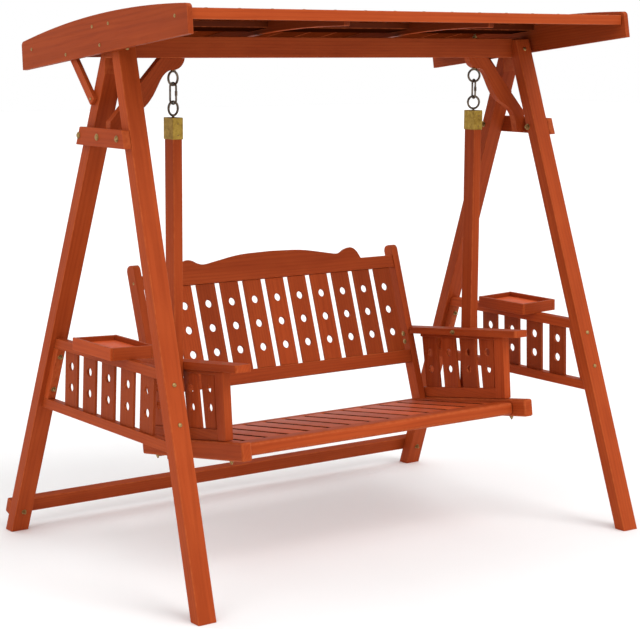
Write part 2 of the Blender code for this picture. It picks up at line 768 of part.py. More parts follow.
def make_backrest(bench):
    """Backrest, built upright under an empty that leans it back."""
    back = add_empty(
        "back_lean", (0.0, STILE_FOOT[0] - CHAIN_Y, STILE_FOOT[1] - LOWER_AXIS_Z), (-BACK_LEAN, 0.0, 0.0), bench
    )
    for side, label in SIDES:
        r = STILE_DEPTH / 2 - 0.004
        outline = [(0.0, 0.0), (STILE_DEPTH, 0.0)]
        outline += arc((STILE_DEPTH - r, STILE_LENGTH - r), r, 0, 90, 5)
        outline += arc((r, STILE_LENGTH - r), r, 90, 180, 5)
        side_board(f"back_stile_{label}", [outline], mirrored(STILE_X, side), back, rounded=0.002)

    rail_y = (BACK_INSET, BACK_INSET + CREST_THICKNESS)
    front_board("back_crest_rail", [crest_outline()], rail_y, back, rounded=0)
    low, high = BACK_BOTTOM_RAIL
    half = STILE_X[0] - GAP
    plank("back_bottom_rail", (-half, rail_y[0], low), (half, rail_y[1], high), back)

    middle = sum(rail_y) / 2
    span = (middle - BACK_SLAT_THICKNESS / 2, middle + BACK_SLAT_THICKNESS / 2)
    for i in range(BACK_SLAT_COUNT):
        x = (i - (BACK_SLAT_COUNT - 1) / 2) * BACK_SLAT_PITCH
        low_corner = (x - BACK_SLAT_WIDTH / 2, span[0], BACK_BOTTOM_RAIL[1] + GAP)
        high_corner = (x + BACK_SLAT_WIDTH / 2, span[1], CREST_BOTTOM - GAP)
        slat = plank(f"back_slat_{i + 1:02d}", low_corner, high_corner, back, rounded=0.002)
        holes = [((x, span[0] - 0.02, z), (x, span[1] + 0.02, z), BACK_HOLE_RADIUS) for z in BACK_HOLE_HEIGHTS]
        drill(slat, f"back_slat_holes_{i + 1:02d}", holes, back)


def bench_loop(points):
    """Moves points given in the stand's Y and Z to the bench's own axes."""
    return [(y - CHAIN_Y, z - LOWER_AXIS_Z) for y, z in points]


def make_armrest(side, label, bench):
    """Flat arm board, notched round the stile at its rear, tipped with the bench."""
    stile_front = STILE_FOOT[0] + math.tan(BACK_LEAN) * (arm_bottom_z(0.2) - STILE_FOOT[1])
    inner, outer = ARM_INNER_X, HANGER_X[0] - GAP
    notch_y = stile_front - 0.0025
    r = 0.012
    slant = 1 / math.cos(math.atan(ARM_SLOPE))

    def along(y):
        return (y - LINES_Y) * slant

    front, notch, rear = along(ARM_FRONT_Y), along(notch_y), along(ARM_REAR_Y)
    outline = arc((inner + r, front + r), r, 180, 270, 4) + arc((outer - r, front + r), r, 270, 360, 4)
    outline += [(outer, rear), (STILE_X[1] + GAP, rear), (STILE_X[1] + GAP, notch), (inner, notch)]
    if side < 0:
        outline = [(-x, y) for x, y in outline]
    tilt = math.atan(ARM_SLOPE)
    place = Matrix.Translation((0.0, LINES_Y - CHAIN_Y, ARM_TOP_Z - LOWER_AXIS_Z)) @ Matrix.Rotation(tilt, 4, "X")
    mesh = outline_mesh(f"armrest_{label}", [outline], ARM_THICKNESS)
    place = place @ Matrix.Translation((0.0, 0.0, -ARM_THICKNESS / 2))
    arm = add_object(f"armrest_{label}", mesh, WOOD, bench, place)
    round_edges(arm, 0.003)


def make_arm_post(side, label, bench):
    """Front arm post, between the side rail and the armrest."""
    front, rear = ARM_POST_BOTTOM_Y, ARM_POST_BOTTOM_Y + ARM_POST_DEPTH

    def lean(y, height_at):
        base = rail_top_z(y)
        top = height_at(y)
        return y + ARM_POST_LEAN * (top - base)

    front_top, rear_top = lean(front, arm_bottom_z), lean(rear, arm_bottom_z)
    clear = 2 * GAP
    outline = [
        (front, rail_top_z(front) + clear),
        (rear, rail_top_z(rear) + clear),
        (rear_top, arm_bottom_z(rear_top) - clear),
        (front_top, arm_bottom_z(front_top) - clear),
    ]
    side_board(f"arm_post_{label}", [bench_loop(outline)], mirrored(ARM_POST_X, side), bench)


def make_arm_panel(side, label, bench):
    """Slatted panel under the armrest: two rails along the seat and the arm, with drilled slats between."""
    start = ARM_POST_BOTTOM_Y + ARM_POST_DEPTH + 0.0185
    end = 0.168
    near = start - 0.014
    clear = 2 * GAP
    lower = [
        (near, rail_top_z(near) + clear),
        (end, rail_top_z(end) + clear),
        (end, rail_top_z(end) + clear + ARM_PANEL_LOWER_RAIL),
        (near, rail_top_z(near) + clear + ARM_PANEL_LOWER_RAIL),
    ]
    upper = [
        (start, arm_bottom_z(start) - clear - ARM_PANEL_UPPER_RAIL),
        (end, arm_bottom_z(end) - clear - ARM_PANEL_UPPER_RAIL),
        (end, arm_bottom_z(end) - clear),
        (start, arm_bottom_z(start) - clear),
    ]
    x = mirrored(ARM_PANEL_X, side)
    panel = side_board(f"arm_panel_{label}", [bench_loop(lower)], x, bench, rounded=0)
    middle = sum(x) / 2
    thin = (middle - ARM_PANEL_SLAT_THICKNESS / 2, middle + ARM_PANEL_SLAT_THICKNESS / 2)
    slats = []
    holes = []
    for y in ARM_PANEL_SLAT_Y:
        lean = ARM_PANEL_LEAN * (arm_bottom_z(y) - rail_top_z(y))
        front, rear = y - ARM_PANEL_SLAT_WIDTH / 2, y + ARM_PANEL_SLAT_WIDTH / 2
        low_front, high_front = max(front, start + 0.003), max(front + lean, start + 0.003)
        slat = [
            (low_front, rail_top_z(low_front) + 0.012),
            (rear, rail_top_z(rear) + 0.012),
            (rear + lean, arm_bottom_z(rear + lean) - 0.006),
            (high_front, arm_bottom_z(high_front) - 0.006),
        ]
        mesh = outline_mesh("slat", [bench_loop(slat)], ARM_PANEL_SLAT_THICKNESS)
        mesh.transform(facing_x(middle))
        slats.append(mesh)
        for height in ARM_HOLE_HEIGHTS:
            local_y, local_z = bench_loop([(y + ARM_PANEL_LEAN * height, rail_top_z(y) + height)])[0]
            holes.append(((thin[0] - 0.02, local_y, local_z), (thin[1] + 0.02, local_y, local_z), ARM_HOLE_RADIUS))
    rail = outline_mesh("rail", [bench_loop(upper)], x[1] - x[0])
    rail.transform(facing_x(middle))
    boolean(panel, helper(f"arm_panel_slats_{label}", slats, bench), "UNION")
    boolean(panel, helper(f"arm_panel_rail_{label}", [rail], bench), "UNION")
    drill(panel, f"arm_panel_holes_{label}", holes, bench)


def make_hanger(side, label, bench):
    """Hanger post with a sleeve cap and the lower eye bolt screwed into its top."""
    x = mirrored(HANGER_X, side)
    half = HANGER_DEPTH / 2
    bottom, top = (z - LOWER_AXIS_Z for z in HANGER_Z)
    post = plank(f"hanger_post_{label}", (x[0], -half, bottom), (x[1], half, top), bench)
    centre = side * CHAIN_X
    bore_end = top - 0.050
    bore = [((centre, 0.0, bore_end), (centre, 0.0, top + 0.02), SHANK_RADIUS + GAP)]
    drill(post, f"hanger_bore_{label}", bore, bench)

    wall = CAP_WALL + GAP
    cap_top = top + wall
    cap = plank(
        f"post_cap_{label}",
        (x[0] - wall, -half - wall, cap_top - CAP_HEIGHT),
        (x[1] + wall, half + wall, cap_top),
        bench,
        BRASS,
        rounded=0.0012,
    )
    inside = box_mesh(
        "inside", (x[0] - GAP, -half - GAP, cap_top - CAP_HEIGHT - 0.02), (x[1] + GAP, half + GAP, top + GAP)
    )
    boolean(cap, helper(f"post_cap_inside_{label}", [inside], bench), "DIFFERENCE")
    drill(cap, f"post_cap_hole_{label}", [((centre, 0.0, top - 0.01), (centre, 0.0, top + 0.02), 0.0046)], bench)


# ---------------------------------------------------------------------------------------- assembly


def build():
    for side, label in SIDES:
        frame = add_empty(
            f"end_frame_{label}", (side * STAND_HALF_WIDTH, 0.0, 0.0), (0.0, -side * END_FRAME_LEAN, 0.0)
        )
        make_legs(side, label, frame)
        make_cross_plate(side, label, frame)
        make_side_panel(side, label, frame)
        make_tray(side, label, frame)
        make_strut(side, label, frame)
        make_arch(side, label, frame)
        make_brace(side, label)
    make_beam()
    make_stretcher()
    make_canopy()

    bench = add_empty("bench_swing_axis", (0.0, CHAIN_Y, LOWER_AXIS_Z))
    for side, label in SIDES:
        x = side * CHAIN_X
        nut_height = BEAM_TOP_Z + GAP - UPPER_AXIS_Z
        top_wire = 2 * RING_RADIUS
        turn = Matrix.Rotation(-side * CHAIN_TURN, 4, "Z")
        upright = Matrix.Translation((x, CHAIN_Y, UPPER_AXIS_Z)) @ turn
        eye_bolt(f"eye_bolt_upper_{label}", upright, nut_height + 0.013 - top_wire, nut_height, None)
        link_axis = add_empty(f"link_axis_{label}", (0.0, CHAIN_Y, UPPER_AXIS_Z))
        make_link(f"quick_link_{label}", x, link_axis, -side * CHAIN_TURN)
        inverted = Matrix.Translation((x, 0.0, 0.0)) @ turn @ Matrix.Rotation(math.pi, 4, "X")
        eye_bolt(f"eye_bolt_lower_{label}", inverted, LOWER_AXIS_Z - HANGER_Z[1] + 0.045 - top_wire, 0.0, bench)
        make_hanger(side, label, bench)
        make_arm_post(side, label, bench)
        make_arm_panel(side, label, bench)
        make_armrest(side, label, bench)
    make_seat(bench)
    make_backrest(bench)


clear_scene()
PARTS = new_collection(OBJECT_NAME)
CUTTERS = new_collection("cutters")
SIDES = ((-1, "left"), (1, "right"))
WOOD = material("stained_hardwood", (0.33, 0.075, 0.022), 0.42)
BRASS = material("brass", (0.55, 0.42, 0.18), 0.35, 1.0)
BRONZE = material("dark_bronzed_steel", (0.10, 0.085, 0.07), 0.45, 1.0)
HELPER = material("helper", (0.5, 0.5, 0.5), 0.8)
GROUND = as_helper(add_object("ground_cut", box_mesh("ground_cut", (-2, -2, -1), (2, 2, 0)), HELPER, None))
build()
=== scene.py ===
"""Looks for the canopy swing bench: stained hardwood boards, brass caps and bronzed hanging hardware."""

import json
import math
import random

import bmesh
import bpy
from mathutils import Matrix, Vector


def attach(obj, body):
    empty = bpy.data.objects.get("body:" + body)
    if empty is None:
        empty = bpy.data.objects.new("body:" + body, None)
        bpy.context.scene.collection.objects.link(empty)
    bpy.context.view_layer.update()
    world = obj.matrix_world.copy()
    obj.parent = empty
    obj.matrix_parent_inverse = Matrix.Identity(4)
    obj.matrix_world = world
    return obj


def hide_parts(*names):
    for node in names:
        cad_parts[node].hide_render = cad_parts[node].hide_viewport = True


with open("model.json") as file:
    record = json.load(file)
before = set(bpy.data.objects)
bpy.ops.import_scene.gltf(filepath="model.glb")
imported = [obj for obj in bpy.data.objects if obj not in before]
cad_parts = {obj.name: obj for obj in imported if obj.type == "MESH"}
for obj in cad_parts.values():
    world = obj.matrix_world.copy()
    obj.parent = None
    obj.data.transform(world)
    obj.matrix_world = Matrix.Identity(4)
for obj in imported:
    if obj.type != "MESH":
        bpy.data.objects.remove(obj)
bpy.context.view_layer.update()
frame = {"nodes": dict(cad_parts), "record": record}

NODES = frame["nodes"]
BODY_OF = {node: body for body, group in frame["record"]["behaviour"]["bodies"].items() for node in group}
SIDES = ((-1, "left"), (1, "right"))
RNG = random.Random(11)

# The stand's main lines, as in the solids: half its width at the floor, the end frames' lean, each leg's
# place at the floor and its slope in Y, and the legs' section.
HALF_WIDTH = 0.861
LEAN = math.radians(2.06)
FRONT_FOOT, FRONT_SLOPE = -0.600, 0.325
REAR_FOOT, REAR_SLOPE = 0.594, 0.375
LEG_DEPTH, LEG_WIDTH = 0.0444, 0.060
BEAM_TOP = 1.610

# The bench's main lines: the seat's and the armrests' heights at LINES_Y with their slopes, the back's foot
# with its lean, and the hanger posts' depth.
LINES_Y = -0.0345
SEAT_Z, SEAT_SLOPE, DECK_SLOPE = 0.3817, -0.150, -0.130
ARM_Z, ARM_SLOPE, ARM_THICK = 0.6285, -0.110, 0.0225
BACK_FOOT, BACK_LEAN = (0.1059, 0.3036), math.atan(0.334)
HANGER_DEPTH = 0.051

# The hanging hardware: the pivots, the rings and links, and the reach from a ring's wire to a link's.
CHAIN_X, CHAIN_Y, UPPER_Z, LOWER_Z = 0.591, -0.0395, 1.466, 1.4175
CHAIN_TURN = math.radians(16.5)
RING_R, RING_WIRE, LINK_WIRE, LINK_HALF = 0.0205, 0.0035, 0.003, 0.012
REACH = 0.007

# Clear gaps between pieces, seams within one node, the distance for welding points, and the nuts' sizes.
GAP = 0.0003
SEAM = 0.0002
WELD = 2e-5
WASHER_THICK, NUT_THICK = 0.0014, 0.0058

# Drilled slats of the side panels and the arm panels.
SLAT_THICK, PANEL_HOLE, ARM_HOLE = 0.009, 0.014, 0.013
PANEL_POST = 0.028

# Radii of the bolts through the cross plates, the legs and the panels.
PLATE_BOLT, LEG_BOLT, PANEL_BOLT = 0.0075, 0.0066, 0.006

WOOD_SLOT, STEEL_SLOT = "stained_hardwood", "dark_bronzed_steel"

# ------------------------------------------------------------------------------------------ materials


def as_value(value):
    """A colour gets its alpha; a number stays as it is."""
    return (*value, 1.0) if isinstance(value, tuple) and len(value) == 3 else value


class Nodes:
    """A small helper that adds and joins shader nodes."""

    def __init__(self, name):
        self.material = bpy.data.materials.new(name)
        self.material.use_nodes = True
        self.tree = self.material.node_tree
        self.shader = self.tree.nodes["Principled BSDF"]

    def add(self, kind, inputs=None, **settings):
        node = self.tree.nodes.new(kind)
        for key, value in settings.items():
            setattr(node, key, value)
        for key, value in (inputs or {}).items():
            if isinstance(value, bpy.types.NodeSocket):
                self.tree.links.new(value, node.inputs[key])
            else:
                node.inputs[key].default_value = value
        return node

    def math(self, operation, a, b=0.0):
        return self.add("ShaderNodeMath", {0: a, 1: b}, operation=operation).outputs[0]

    def scaled(self, vector, scale):
        return self.add("ShaderNodeVectorMath", {0: vector, 1: scale}, operation="MULTIPLY").outputs[0]

    def noise(self, vector, scale, detail=3.0, roughness=0.55, distortion=0.0):
        inputs = {"Vector": vector, "Scale": scale, "Detail": detail, "Roughness": roughness}
        return self.add("ShaderNodeTexNoise", {**inputs, "Distortion": distortion}).outputs["Fac"]

    def ramp(self, factor, stops):
        node = self.add("ShaderNodeValToRGB", {"Fac": factor})
        elements = node.color_ramp.elements
        while len(elements) < len(stops):
            elements.new(0.5)
        for element, (place, colour) in zip(elements, stops):
            element.position = place
            element.color = as_value(colour if isinstance(colour, tuple) else (colour,) * 3)
        return node.outputs["Color"]

    def mix(self, factor, a, b):
        node = self.add("ShaderNodeMix", data_type="RGBA")
        for place, value in ((0, factor), (6, a), (7, b)):
            if isinstance(value, bpy.types.NodeSocket):
                self.tree.links.new(value, node.inputs[place])
            else:
                node.inputs[place].default_value = as_value(value)
        return node.outputs[2]

    def remap(self, value, low, high, to_low, to_high):
        inputs = {"Value": value, "From Min": low, "From Max": high, "To Min": to_low, "To Max": to_high}
        return self.add("ShaderNodeMapRange", inputs).outputs["Result"]

    def bump(self, height, distance, strength):
        node = self.add("ShaderNodeBump", {"Height": height, "Distance": distance, "Strength": strength})
        self.tree.links.new(node.outputs["Normal"], self.shader.inputs["Normal"])

    def set(self, **values):
        """Sets or links the shader's own sockets, with _ for a space in a name."""
        for key, value in values.items():
            socket = self.shader.inputs[key.replace("_", " ")]
            if isinstance(value, bpy.types.NodeSocket):
                self.tree.links.new(value, socket)
            else:
                socket.default_value = as_value(value)


STAIN_DEEP, STAIN, STAIN_PALE = (0.300, 0.0420, 0.0075), (0.360, 0.0540, 0.0105), (0.415, 0.0690, 0.0150)
STAIN_LATE, STAIN_STREAK = (0.225, 0.0290, 0.0045), (0.155, 0.0190, 0.0030)
STAIN_CLOUD, STAIN_RUBBED = (0.440, 0.0780, 0.0160), (0.470, 0.1000, 0.0260)


def wood_material(name, depth, gloss):
    """Stained reddish hardwood: rings and pores along each board's own grain, worn edges, and a tone that
    is random per board, with painted shade and painted light on chosen faces.

    Depth scales the whole colour, below 1 for a painted-shade copy and above 1 for a painted-light copy,
    and gloss is the strength of the oil's shine.
    """
    n = Nodes(name)
    grain = n.add("ShaderNodeAttribute", attribute_name="grain").outputs["Vector"]
    tone = n.add("ShaderNodeAttribute", attribute_name="tone").outputs["Fac"]
    edge = n.add("ShaderNodeAttribute", attribute_name="edge").outputs["Fac"]
    stretched = n.scaled(grain, (0.055, 1.0, 1.0))
    rings = n.add(
        "ShaderNodeTexWave",
        {"Vector": stretched, "Scale": 34.0, "Distortion": 5.5, "Detail": 3.0, "Detail Scale": 1.1},
        wave_type="RINGS",
        rings_direction="X",
    ).outputs["Fac"]
    figure = n.noise(n.scaled(grain, (1.6, 22.0, 22.0)), 1.0, 5.0, 0.6, 0.6)
    clouds = n.noise(grain, 5.0, 3.0)
    streaks = n.noise(n.scaled(grain, (9.0, 260.0, 260.0)), 1.0, 4.0, 0.6)
    pores = n.noise(n.scaled(grain, (45.0, 1100.0, 1100.0)), 1.0, 2.0, 0.5)

    base = n.ramp(figure, [(0.25, STAIN_DEEP), (0.50, STAIN), (0.78, STAIN_PALE)])
    late = n.ramp(rings, [(0.45, 0.0), (1.0, 0.30)])
    base = n.mix(late, base, STAIN_LATE)
    base = n.mix(n.ramp(streaks, [(0.52, 0.0), (0.75, 0.26)]), base, STAIN_STREAK)
    base = n.mix(n.ramp(clouds, [(0.45, 0.0), (0.75, 0.25)]), base, STAIN_CLOUD)
    # The tone scales the stain: low tones are painted shade, high tones painted light, and small ones the
    # boards' random variation.
    shade = n.remap(tone, -5.5, 2.0, 0.06 * depth, 1.26 * depth)
    base = n.add("ShaderNodeVectorMath", {0: base}, operation="SCALE")
    n.tree.links.new(shade, base.inputs["Scale"])
    rub = n.math("MULTIPLY", edge, n.remap(n.noise(grain, 60.0, 4.0), 0.38, 0.66, 0.10, 0.55))
    base = n.mix(rub, base.outputs[0], STAIN_RUBBED)
    roughness = n.math("ADD", n.remap(figure, 0.2, 0.8, 0.42, 0.56), n.math("MULTIPLY", streaks, 0.10))
    n.set(Base_Color=base, Roughness=roughness, Specular_IOR_Level=gloss)
    n.set(Coat_Weight=0.2 * gloss, Coat_Roughness=0.35)
    height = n.math("ADD", n.math("MULTIPLY", rings, 0.30), n.math("MULTIPLY", streaks, 0.8))
    n.bump(n.math("SUBTRACT", height, n.math("MULTIPLY", pores, 0.5)), 0.0005, 0.45)
    return n.material


def metal_material(name, light, dark, low, high, scale):
    """Worn metal: two tones mixed by cloudy tarnish, with fine scratches in roughness and relief."""
    n = Nodes(name)
    place = n.add("ShaderNodeTexCoord").outputs["Object"]
    tarnish = n.noise(place, scale, 5.0, 0.65, 0.3)
    fine = n.noise(n.scaled(place, (1.0, 1.0, 0.2)), scale * 14, 3.0)
    mask = n.ramp(tarnish, [(0.36, 0.0), (0.66, 1.0)])
    colour = n.mix(mask, light, dark)
    colour = n.mix(n.ramp(fine, [(0.45, 0.0), (0.8, 0.35)]), colour, tuple(0.5 * c for c in dark))
    roughness = n.math("ADD", n.remap(tarnish, 0.2, 0.8, low, high), n.math("MULTIPLY", fine, 0.10))
    n.set(Base_Color=colour, Metallic=1.0, Roughness=roughness)
    n.bump(n.math("ADD", fine, n.math("MULTIPLY", tarnish, 0.8)), 0.0002, 0.5)
    return n.material


def floor_material():
    """A matt, pale and slightly uneven studio floor."""
    n = Nodes("pale_floor")
    place = n.add("ShaderNodeTexCoord").outputs["Object"]
    colour = n.ramp(n.noise(place, 1.3, 4.0), [(0.3, 0.89), (0.7, 0.91)])
    n.set(Base_Color=colour, Roughness=0.75, Specular_IOR_Level=0.2)
    return n.material


WOOD = wood_material("stained_hardwood_grain", 1.0, 0.065)
SHADED_UNDERSIDE = wood_material("stained_hardwood_painted_shade_underside", 0.36, 0.0)
PAINTED_LIGHT_TOP = wood_material("stained_hardwood_painted_light_top", 1.50, 0.13)
BRASS = metal_material("tarnished_brass", (0.42, 0.270, 0.055), (0.26, 0.155, 0.028), 0.36, 0.52, 70.0)
ZINC = metal_material("yellow_zinc", (0.46, 0.30, 0.12), (0.22, 0.125, 0.045), 0.34, 0.55, 160.0)
BRONZE_LIGHT, BRONZE_DARK = (0.230, 0.175, 0.125), (0.065, 0.048, 0.038)
BRONZE = metal_material("dark_bronzed_steel_wear", BRONZE_LIGHT, BRONZE_DARK, 0.32, 0.50, 120.0)
# Names' starts of pieces whose upper (1) or lower (-1) faces get a copy of the wood with painted light:
# painted shade, dark and dull, under the roof; painted light, paler and glossier, on the tops of the seat
# and the trays.
PAINTED_LIGHT_FACES = (
    (("roof_board", "wood_canopy_ridge_board", "wood_canopy_rear_rail"), -1, SHADED_UNDERSIDE),
    (("seat_slat", "tray_left_floor", "tray_right_floor"), 1, PAINTED_LIGHT_TOP),
)


# ---------------------------------------------------------------------------------------- mesh helpers


def from_bmesh(name, shape):
    mesh = bpy.data.meshes.new(name)
    shape.to_mesh(mesh)
    shape.free()
    return mesh


def place(name, mesh, material, body, slot, nodes=()):
    obj = bpy.data.objects.new(name, mesh)
    bpy.context.scene.collection.objects.link(obj)
    mesh.materials.clear()
    mesh.materials.append(material)
    # Faces up or down on these pieces get the copy of the wood with painted shade or painted light.
    for starts, way, painted_light_material in PAINTED_LIGHT_FACES:
        if name.startswith(starts):
            mesh.materials.append(painted_light_material)
            for face in mesh.polygons:
                face.material_index = 1 if face.normal.z * way > 0.6 else 0
    mesh.polygons.foreach_set("use_smooth", [True] * len(mesh.polygons))
    mesh.set_sharp_from_angle(angle=math.radians(38))
    normals = obj.modifiers.new("flat_faces", "WEIGHTED_NORMAL")
    normals.keep_sharp = True
    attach(obj, body)
    if nodes:
        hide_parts(*nodes)


def soften(shape, width):
    """Rounds every edge sharper than 50 degrees."""
    least = math.radians(50)
    sharp = [e for e in shape.edges if len(e.link_faces) == 2 and e.calc_face_angle(0.0) > least]
    bmesh.ops.bevel(
        shape, geom=sharp, offset=width, segments=2, profile=0.5, affect="EDGES", clamp_overlap=True
    )


def grain_mesh(mesh, axes, tone=None, painted_shade_and_light=()):
    """Writes the board's own coordinates (X along the grain), its tone, and 1 on its rounded edges.

    Faces along a direction in painted_shade_and_light get its shift in tone: negative shifts are painted
    shade on sides in a narrow gap, positive ones a painted highlight on the rafters' undersides.
    """
    turn = axes.to_3x3().transposed()
    along, across = RNG.uniform(-9, 9), RNG.uniform(0.05, 0.16) * RNG.choice((-1, 1))
    pith = Vector((along, across, RNG.uniform(-0.12, 0.12)))
    middle = sum((v.co for v in mesh.vertices), Vector()) / len(mesh.vertices)
    shade = RNG.uniform(-1, 1) if tone is None else tone
    coordinates, tones, edges = [], [], []
    for face in mesh.polygons:
        local = turn @ face.normal
        rounded = max(abs(c) for c in local) < math.cos(math.radians(14))
        shift = sum(amount for way, amount in painted_shade_and_light if face.normal.dot(Vector(way)) > 0.75)
        for corner in face.loop_indices:
            point = mesh.vertices[mesh.loops[corner].vertex_index].co
            coordinates.extend(turn @ (point - middle) + pith)
            tones.append(shade + shift)
            edges.append(1.0 if rounded else 0.0)
    for name, kind in (("grain", "FLOAT_VECTOR"), ("tone", "FLOAT"), ("edge", "FLOAT")):
        mesh.attributes.new(name, kind, "CORNER")
    mesh.attributes["grain"].data.foreach_set("vector", coordinates)
    mesh.attributes["tone"].data.foreach_set("value", tones)
    mesh.attributes["edge"].data.foreach_set("value", edges)


def axes_of(along, normal):
    """A rotation whose X runs along the grain and whose Z is the board's face."""
    x = Vector(along).normalized()
    z = (Vector(normal) - Vector(normal).dot(x) * x).normalized()
    return Matrix((x, z.cross(x), z)).transposed()


def dress(node, along, normal, round_by=0.0, tone=None, painted_shade_and_light=()):
    """The node's own shape, welded and shaded as one board of wood."""
    shape = bmesh.new()
    shape.from_mesh(NODES[node].data)
    bmesh.ops.remove_doubles(shape, verts=shape.verts, dist=WELD)
    if round_by:
        bmesh.ops.dissolve_limit(shape, angle_limit=math.radians(1), verts=shape.verts, edges=shape.edges)
        soften(shape, round_by)
    mesh = from_bmesh("wood_" + node, shape)
    grain_mesh(mesh, axes_of(along, normal), tone, painted_shade_and_light)
    place("wood_" + node, mesh, WOOD, BODY_OF[node], WOOD_SLOT, [node])


def flat_mesh(name, loops, thickness):
    """A board from closed 2D outlines: the first is its edge, the others are holes through it."""
    curve = bpy.data.curves.new(name, "CURVE")
    curve.dimensions = "2D"
    curve.fill_mode = "BOTH"
    curve.extrude = thickness / 2
    for loop in loops:
        spline = curve.splines.new("POLY")
        spline.points.add(len(loop) - 1)
        for point, (x, y) in zip(spline.points, loop):
            point.co = (x, y, 0.0, 1.0)
        spline.use_cyclic_u = True
    guide = bpy.data.objects.new(name, curve)
    bpy.context.scene.collection.objects.link(guide)
    graph = bpy.context.evaluated_depsgraph_get()
    mesh = bpy.data.meshes.new_from_object(guide.evaluated_get(graph))
    bpy.data.objects.remove(guide)
    bpy.data.curves.remove(curve)
    return mesh


def board(name, loops, thickness, matrix, node, grain="X", round_by=0.0018, tone=None, painted_shade_and_light=()):
    """A new board in place of part of a node. Its outline lies in the matrix's XY plane."""
    flat = flat_mesh(name, loops, thickness)
    shape = bmesh.new()
    shape.from_mesh(flat)
    bpy.data.meshes.remove(flat)
    bmesh.ops.remove_doubles(shape, verts=shape.verts, dist=WELD / 2)
    bmesh.ops.recalc_face_normals(shape, faces=shape.faces)
    bmesh.ops.dissolve_limit(shape, angle_limit=math.radians(1), verts=shape.verts, edges=shape.edges)
    soften(shape, round_by)
    shape.transform(matrix)
    if matrix.determinant() < 0:
        bmesh.ops.reverse_faces(shape, faces=shape.faces)
    mesh = from_bmesh(name, shape)
    turn = matrix.to_3x3().normalized()
    along = turn.col[0] if grain == "X" else turn.col[1]
    grain_mesh(mesh, axes_of(along, turn.col[2]), tone, painted_shade_and_light)
    place(name, mesh, WOOD, BODY_OF[node], WOOD_SLOT, [node])


def rect(x0, y0, x1, y1):
    return [(x0, y0), (x1, y0), (x1, y1), (x0, y1)]


def circle(x, y, radius, count=28):
    return [
        (x + radius * math.cos(math.tau * i / count), y + radius * math.sin(math.tau * i / count))
        for i in range(count)
    ]


def end_frame(side):
    """The tilted plane of one end frame: X outwards from the legs' outer faces, Y back, Z up."""
    return (
        Matrix.Translation((side * HALF_WIDTH, 0, 0))
        @ Matrix.Rotation(-side * LEAN, 4, "Y")
        @ Matrix.Diagonal((side, 1, 1, 1))
    )


def upright(x):
    """Turns an outline in Y and Z to stand across X."""
    return Matrix(((0, 0, 1, x), (1, 0, 0, 0), (0, 1, 0, 0), (0, 0, 0, 1)))


# -------------------------------------------------------------------------------------------- hardware


def turned(name, profile, start, direction, material, body, slot, sides):
    """A turned piece: the profile gives (distance along, radius) from its start."""
    axis = Vector(direction).normalized()
    turn = axis.to_track_quat("Z", "Y").to_matrix().to_4x4()
    shape = bmesh.new()
    rows = []
    for along, radius in profile:
        if radius < 1e-6:
            rows.append([shape.verts.new((0, 0, along))])
            continue
        rows.append([shape.verts.new((x, y, along)) for x, y in circle(0, 0, radius, sides)])
    for low, high in zip(rows, rows[1:]):
        for i in range(sides):
            j = (i + 1) % sides
            if len(low) == 1:
                shape.faces.new((low[0], high[j], high[i]))
            elif len(high) == 1:
                shape.faces.new((low[i], low[j], high[0]))
            else:
                shape.faces.new((low[i], low[j], high[j], high[i]))
    for row, flip in ((rows[0], True), (rows[-1], False)):
        if len(row) > 1:
            shape.faces.new(reversed(row) if flip else row)
    bmesh.ops.recalc_face_normals(shape, faces=shape.faces)
    shape.transform(Matrix.Translation(start) @ turn)
    place(name, from_bmesh(name, shape), material, body, slot)


def washer(radius, thick):
    """A washer's profile with its edges broken, open at the top for what stands on it."""
    c = thick * 0.3
    return [(0, 0), (0, radius - c), (c, radius), (thick - c, radius), (thick, radius - c)]


def fastener(name, profile, start, direction, body, sides):
    """A turned piece in yellow zinc."""
    turned(name, profile, start, direction, ZINC, body, STEEL_SLOT, sides)


def dome_bolt(name, start, direction, body, radius, washered=True):
    """A carriage bolt's domed head, on a washer or on its own rim."""
    base = 0.0016 if washered else 0.0
    rim = base + 0.0008
    rise = radius * 0.42
    profile = washer(radius * 1.35, base) if washered else [(0, 0), (0, radius)]
    profile += [(base, radius), (rim, radius)]
    for degrees in range(12, 90, 13):
        a = math.radians(degrees)
        profile.append((rim + rise * math.sin(a), radius * math.cos(a)))
    profile.append((rim + rise, 0.0))
    fastener(name, profile, start, direction, body, 24)


def nut_and_end(name, start, direction, body, radius=0.0075):
    """A washer, a hexagon nut and the bolt's end."""
    step = Vector(direction).normalized()
    flange = washer(radius * 1.4, WASHER_THICK) + [(WASHER_THICK, 0)]
    fastener(name + "_washer", flange, start, direction, body, 32)
    near = [(0, 0), (0, radius * 0.9), (0.0009, radius)]
    far = [(0.0050, radius), (NUT_THICK, radius * 0.9), (NUT_THICK, 0)]
    fastener(name + "_nut", near + far, Vector(start) + step * WASHER_THICK, direction, body, 6)
    rod, chamfer = radius * 0.52, radius * 0.42
    end = [(0, 0), (0, rod), (0.0042, rod), (0.0050, chamfer), (0.0050, 0)]
    fastener(name + "_end", end, Vector(start) + step * (WASHER_THICK + NUT_THICK), direction, body, 20)


def screw(name, start, direction, body, radius=0.0048):
    """A countersunk screw's head with a round recess, standing a hair proud."""
    rim = [(0, 0), (0, radius * 0.96), (0.0006, radius), (0.0011, radius * 0.86)]
    recess = [(0.0012, radius * 0.42), (0.0003, radius * 0.30), (0.0002, 0)]
    fastener(name, rim + recess, start, direction, body, 20)


